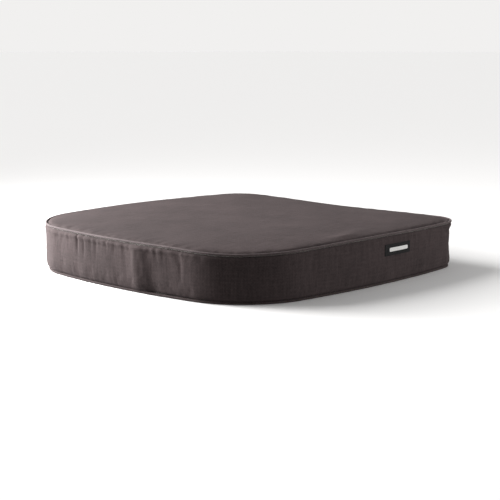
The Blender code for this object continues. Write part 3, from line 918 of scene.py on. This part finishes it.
def make_coil(name, side, node_name):
    """Half of the chain: a filament wound into flattened loops, its heads to the middle."""
    low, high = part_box(node_name)
    turns = int((high.x - low.x - 2 * FILAMENT) / LOOP_PITCH)
    t = np.arange(turns * 12 + 1) / 12
    angle = 2 * math.pi * t
    inner = 0.0003 + FILAMENT
    outer = high.z - ZIP_HEIGHT if side > 0 else ZIP_HEIGHT - low.z
    middle, half = (inner + outer - FILAMENT) / 2, (outer - FILAMENT - inner) / 2
    deep = (high.y - low.y) / 2 - FILAMENT
    x = low.x + FILAMENT + LOOP_PITCH * (t + (0.25 if side > 0 else 0.5))
    z = ZIP_HEIGHT + side * (middle - half * np.cos(angle))
    y = (low.y + high.y) / 2 - deep * np.sin(angle)
    obj = tube(name, np.column_stack([x, y, z]), FILAMENT, 6, NYLON, closed=False)
    return place(obj, replaces=[node_name])


make_coil("coil_upper", 1, "zip_coil_upper")
make_coil("coil_lower", -1, "zip_coil_lower")


def make_tape(name, node_name):
    low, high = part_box(node_name)
    x, z = np.meshgrid(np.linspace(low.x, high.x, 260), np.linspace(low.z, high.z, 14))
    rib, rib_pitch = 0.00006, 0.0028
    y = np.full(x.shape, high.y) - rib * (1 + np.sin(x * 2 * math.pi / rib_pitch))
    points = np.stack([x, y, z], -1).reshape(-1, 3)
    faces = grid_faces(*x.shape)[:, ::-1]
    obj = sheet_object(name, points, faces, points[:, [0, 2]], TAPE_CLOTH)
    thicken(obj, high.y - low.y - 2 * rib)
    return place(obj, replaces=[node_name])


tapes = [make_tape(f"tape_{which}", f"zip_tape_{which}") for which in ("upper", "lower")]

# %% [markdown]
# Two rows of stitches hold the zip strips to the tapes. A stitch is a short thread that dips into
# the cloth at both ends. They are 3 mm long, as on real covers, and lie 2 mm from the folds.

# %% Stitches
THREAD = two_tone(
    "polyester sewing thread, charcoal",
    "#3a3436",
    "#6a6062",
    2500.0,
    Roughness=0.6,
    Sheen_Weight=0.3,
)


def make_stitches(name, starts, ends, facing, radius=0.00028):
    """One short arched thread from each start to its end, standing out along facing."""
    points, faces = [], []
    sides, rings = 6, 5
    for a, b, out in zip(starts, ends, facing):
        ahead = (b - a) / np.linalg.norm(b - a)
        side = np.cross(ahead, out)
        first = len(points)
        for r in range(rings):
            t = r / (rings - 1)
            lift = math.sin(math.pi * t)
            middle = a + (b - a) * t + out * radius * (1.1 * lift - 0.5)
            thick = radius * (0.55 + 0.45 * lift)
            for k in range(sides):
                w = 2 * math.pi * k / sides
                points.append(middle + side * thick * math.cos(w) + out * thick * math.sin(w))
        for r in range(rings - 1):
            for k in range(sides):
                n = (k + 1) % sides
                p = first + r * sides
                faces.append((p + k, p + n, p + sides + n, p + sides + k))
        faces.append([first + k for k in range(sides)][::-1])
        faces.append([first + (rings - 1) * sides + k for k in range(sides)])
    return sheet_object(name, points, faces, np.array(points)[:, [0, 2]], THREAD)


def stitch_row(z, start, end, pitch=0.0032, gap=0.0008):
    """Places for a row of stitches at one height of the wall."""
    s = np.arange(start, end - pitch, pitch)
    first = wall(s, z) + filled_move(s, np.full(len(s), z))
    second = s + pitch - gap
    last = wall(second, z) + filled_move(second, np.full(len(s), z))
    out = np.column_stack([read_loop(OUTWARD, s), np.zeros(len(s))])
    return first, last, out


rows = [
    stitch_row(ZIP_HEIGHT + side * (ZIP_GAP / 2 + 0.0022), ZIP_START + 0.002, ZIP_END - 0.002)
    for side in (1, -1)
]
stitches = make_stitches("zip_stitches", *(np.concatenate(parts) for parts in zip(*rows)))
place(stitches)

# %% [markdown]
# The label is a small woven patch on the sitter's left side, black, with a plain pale bar woven
# into it. It has a turned border, which stands a little proud of its middle.

# %% Side label
LABEL_CLOTH = woven(
    "damask label, black", "#070707", "#161415", 0.0012, depth=0.2, Specular_IOR_Level=0.35
)
LABEL_BAR = woven(
    "satin stitch bar, off white", "#e4e1dd", "#fbfaf8", 0.0012, depth=0.35, streaks=0.4, mottle=0.3
)
BAR_HALF_LENGTH, BAR_HALF_HEIGHT = 0.0195, 0.0022


def make_label():
    low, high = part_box("side_label")
    ys = np.linspace(low.y, high.y, 60)
    zs = np.linspace(low.z, high.z, 22)
    s_at = np.interp(ys, ys[[0, -1]], [length_at(high.x, ys[0]), length_at(high.x, ys[-1])])
    s, z = np.meshgrid(s_at, zs)
    y, _ = np.meshgrid(ys, zs)
    edge = np.minimum.reduce([y - low.y, high.y - y, z - low.z, high.z - z])
    rim = ease((0.0016 - edge) / 0.0008) * 0.00025
    bar_y, bar_z = y - (low.y + high.y) / 2 - 0.002, z - (low.z + high.z) / 2
    bar = np.maximum(np.abs(bar_y) / BAR_HALF_LENGTH, np.abs(bar_z) / BAR_HALF_HEIGHT)
    lift = 0.0003 * ease((1.08 - bar) / 0.12)
    share = (z - BAND_BOTTOM) / (BAND_TOP - BAND_BOTTOM)
    out = band_relief(s, share) + 0.0006 + rim + lift
    out -= 0.0003 * np.clip(1 - edge / 0.0006, 0, 1)
    points = (wall(s, z, out) + filled_move(s, z)).reshape(-1, 3)
    threads = np.stack([y, z], -1).reshape(-1, 2)
    faces = grid_faces(len(zs), len(ys))
    obj = sheet_object("label_patch", points, faces, threads, LABEL_CLOTH)
    obj.data.materials.append(LABEL_BAR)
    centre = bar.reshape(-1)[faces].mean(1)
    for face, value in zip(obj.data.polygons, centre):
        face.material_index = int(value < 1.0)
    return thicken(obj, 0.0004)


patch = place(make_label(), replaces=["side_label"])

# %% [markdown]
# Inside the cover are two blocks of foam in a knitted sock. They are hidden, but they are part of
# the object, so they get smooth, round-edged shapes and finishes of their own.

# %% Foam and knit
def cellular(name, dark, light, cell):
    """Open-cell foam: countless tiny pits, drawn coarse enough to see, and a matt, chalky face."""
    finish, shader = new_finish(name, Roughness=0.95, Specular_IOR_Level=0.2)
    where = node(finish, "TexCoord", out=3)
    pits = node(finish, "TexVoronoi", {"Vector": where, "Scale": 1 / cell})
    cloud = node(finish, "TexNoise", {"Vector": where, "Scale": 18.0, "Detail": 3.0})
    shade = node(finish, "Math", {0: pits, 1: 0.6, 2: cloud}, operation="MULTIPLY_ADD")
    shade = node(finish, "Math", {0: shade, 1: 0.25}, operation="SUBTRACT")
    bump = node(finish, "Bump", {"Height": pits, "Strength": 0.4, "Distance": cell * 0.5})
    join(finish, shader, Base_Color=mixed(finish, shade, light, dark), Normal=bump)
    return finish


MEMORY = cellular("slow memory foam, cream", "#d9cba0", "#efe4c2", 0.0022)
FIRM = cellular("polyurethane foam, grey", "#8d8f92", "#b4b6b8", 0.0028)
KNIT = woven(
    "circular knit polyester, off white", "#cbc7bf", "#e9e6df", 0.0020, depth=0.35, mottle=0.4
)


def block(name, inset, rows, finish, crown=False):
    """A closed block of the outline: wall rows from the bottom up, then a flat or crowned top."""
    count = 420
    s = np.linspace(0, GIRTH, count, endpoint=False)
    rings = [wall(s, z, -inset - extra) for z, extra in rows]
    middle = np.array([0, SHIFT])
    last = rings[-1]
    for share in (0.985, 0.96, 0.9, 0.8, 0.66, 0.5, 0.33, 0.16, 0.05):
        flat = middle + (last[:, :2] - middle) * share
        z = last[:, 2]
        if crown:
            z = z + CROWN * (1 - share**4) + sag(read_loop(LOOP, s)) * (1 - share**5)
        rings.append(np.column_stack([flat, np.broadcast_to(z, count)]))
    points = np.concatenate(rings)
    faces = grid_faces(len(rings), count, closed=True).tolist()
    faces += [list(range(count))[::-1], [(len(rings) - 1) * count + k for k in range(count)]]
    walked = np.tile(s, len(rings))
    ring_of = np.repeat(np.arange(len(rings)), count)
    threads = np.column_stack([walked, points[:, 2] + ring_of * 0.02])
    return sheet_object(name, points, faces, threads, finish)


# The cut edges of a block are rounded: how far from its face, and how far in, each row lies.
ROUNDING = [(0.0, 0.0030), (0.0006, 0.0017), (0.0017, 0.0006), (0.0030, 0.0)]


def rounded_rows(bottom, upright, top):
    """Heights and insets of a block's rows, with upright ones between its rounded edges."""
    below = [(bottom + d, inset) for d, inset in ROUNDING]
    above = [(top - d, inset) for d, inset in ROUNDING[::-1]]
    return below + [(z, 0.0) for z in upright] + above


LINER_INSET = 0.0034  # leaves the zip's slider room behind its tapes
CORE = LINER_INSET + KNIT_CLOTH + CLEARANCE
low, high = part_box("support_foam")
rows = rounded_rows(low.z, (0.020, 0.028), high.z)
support = block("foam_firm", CORE, rows, FIRM)
place(support, replaces=["support_foam"])
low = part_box("comfort_foam")[0]
COMFORT_TOP = EDGE_HEIGHT - FABRIC - KNIT_CLOTH - 3 * CLEARANCE
rows = rounded_rows(low.z, (SAG_START + 0.002, 0.050), COMFORT_TOP)
comfort = block("foam_comfort", CORE, rows, MEMORY, crown=True)
place(comfort, replaces=["comfort_foam"])

# %% [markdown]
# The sock is a closed shell of thin knit with a slit behind the zip, where the foam goes in. A
# blank satin label hangs inside the cover at the end of the zip. Both follow the wall's own shape.

# %% Sock and inner label
SLIT = 0.006


def open_slit(obj):
    """Takes out the faces of the sock's slit, behind the zip's middle."""
    bm = bmesh.new()
    bm.from_mesh(obj.data)
    middles = [(face, face.calc_center_median()) for face in bm.faces]
    behind = [(face, c) for face, c in middles if c.y > REAR_Y - 0.008 and abs(c.x) < ZIP_RUN / 2]
    slit = [face for face, c in behind if abs(c.z - ZIP_HEIGHT) < SLIT / 2]
    bmesh.ops.delete(bm, geom=slit, context="FACES")
    bm.to_mesh(obj.data)
    bm.free()


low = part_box("inner_liner")[0]
SOCK_TOP = EDGE_HEIGHT - FABRIC - CLEARANCE
upright = (0.020, ZIP_HEIGHT - SLIT / 2, ZIP_HEIGHT + SLIT / 2, SAG_START + 0.002, 0.050)
rows = rounded_rows(low.z, upright, SOCK_TOP)
sock = block("liner_sock", LINER_INSET, rows, KNIT, crown=True)
open_slit(sock)
thicken(sock, KNIT_CLOTH)
place(sock, replaces=["inner_liner"])

SATIN = woven("satin ribbon, white", "#c9c9c7", "#e6e6e3", 0.0010, streaks=0.3, mottle=0.3)


def make_inner_label():
    low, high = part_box("care_label")
    start = length_at(high.x, REAR_Y)
    lengths = np.linspace(start, start + high.x - low.x, 12)
    s, z = np.meshgrid(lengths, np.linspace(low.z, high.z, 20))
    curl = 0.0002 * ((z - ZIP_HEIGHT) / (high.z - ZIP_HEIGHT)) ** 2
    points = wall(s, z, high.y - REAR_Y - 0.0002 + curl)
    threads = np.stack([s, z], -1).reshape(-1, 2)
    obj = sheet_object("care_tag", points.reshape(-1, 3), grid_faces(*s.shape), threads, SATIN)
    return thicken(obj, 0.0003)


tag = place(make_inner_label(), replaces=["care_label"])

# %% [markdown]
# The zip's slider, pull and stops keep the frame's own shapes, because their size is what makes
# them work. A cast edge is never sharp, so a small bevel rounds each one and catches the light.

# %% Cast pieces
for name in ("top_stop_upper", "top_stop_lower", "bottom_stop", "slider", "pull"):
    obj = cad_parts["zip_" + name]
    obj.data.materials.clear()
    obj.data.materials.append(ENAMEL)
    rounded = obj.modifiers.new("cast edges", "BEVEL")
    rounded.width, rounded.segments, rounded.limit_method = 0.00022, 3, "ANGLE"
    rounded.angle_limit = math.radians(35)

# %% [markdown]

# %% [markdown]
# A pale floor, one broad lamp from the left for the form, a small one near the band's left end,
# which is its brightest part, and a weak one from the right, so the shaded side keeps its detail.
# The camera looks at the front corner from a little above.

# %% Studio
FLOOR, floor_shader = new_finish("matt floor, pale", Roughness=0.9, Specular_IOR_Level=0.1)
floor_shader.inputs["Base Color"].default_value = paint("#f8f7f6")


def studio_piece(name, finish, shape, **sizes):
    """A plain shape that is part of the studio and not of the cushion."""
    bm = bmesh.new()
    shape(bm, radius=14.0, **sizes)
    mesh = bpy.data.meshes.new(name)
    bm.to_mesh(mesh)
    bm.free()
    mesh.materials.append(finish)
    obj = bpy.data.objects.new(name, mesh)
    bpy.context.scene.collection.objects.link(obj)
    return obj


floor = studio_piece("floor", FLOOR, bmesh.ops.create_circle, cap_ends=True, segments=96)
floor.location.z = -0.0002
# A white floor would throw light up on the shaded band; a dark card beside it would stop that.
floor.visible_diffuse = False

# The backdrop is seen but lights nothing, so the shaded side of the cushion stays dark.
BACKDROP, backdrop_shader = new_finish("backdrop, pale", Roughness=1.0)
backdrop_shader.inputs["Base Color"].default_value = (0, 0, 0, 1)
backdrop_shader.inputs["Emission Color"].default_value = paint("#f0efee")
backdrop_shader.inputs["Emission Strength"].default_value = 1.0
backdrop = studio_piece(
    "backdrop", BACKDROP, bmesh.ops.create_uvsphere, u_segments=48, v_segments=24
)
for ray in ("diffuse", "glossy", "transmission", "volume_scatter", "shadow"):
    setattr(backdrop, "visible_" + ray, False)

world = bpy.data.worlds.new("studio")
bpy.context.scene.world = world
world.use_nodes = True
sky = world.node_tree.nodes["Background"].inputs
sky["Color"].default_value, sky["Strength"].default_value = paint("#ffffff"), 0.30


def lamp(name, kind, power, direction, **settings):
    """A lamp that shines towards the cushion from a direction."""
    light = bpy.data.lights.new(name, kind)
    light.energy = power
    for key, value in settings.items():
        setattr(light, key, value)
    obj = bpy.data.objects.new(name, light)
    obj.location = Vector(direction)
    obj.rotation_euler = (-Vector(direction)).to_track_quat("-Z", "Y").to_euler()
    obj.visible_camera = False
    bpy.context.scene.collection.objects.link(obj)
    return obj


lamp("broad key", "SUN", 4.4, (-1.6, -0.72, 0.88), angle=math.radians(45))
panel = {"kind": "AREA", "shape": "RECTANGLE"}
lamp("near softbox", power=17.5, direction=(-0.62, -0.42, 0.23), size=0.45, size_y=0.36, **panel)
lamp("side fill", power=6.5, direction=(1.00, 0.85, 0.30), size=0.5, size_y=0.5, **panel)

# %% Camera
camera = bpy.data.objects.new("camera", bpy.data.cameras.new("camera"))
camera.location = (1.262, -1.2825, 0.3237)
AIM = Vector((0.010, 0.010, 0.022))
camera.rotation_euler = (AIM - camera.location).to_track_quat("-Z", "Y").to_euler()
camera.data.lens = 97.4
bpy.context.scene.collection.objects.link(camera)
bpy.context.scene.camera = camera
bpy.context.scene.view_settings.view_transform = "Standard"
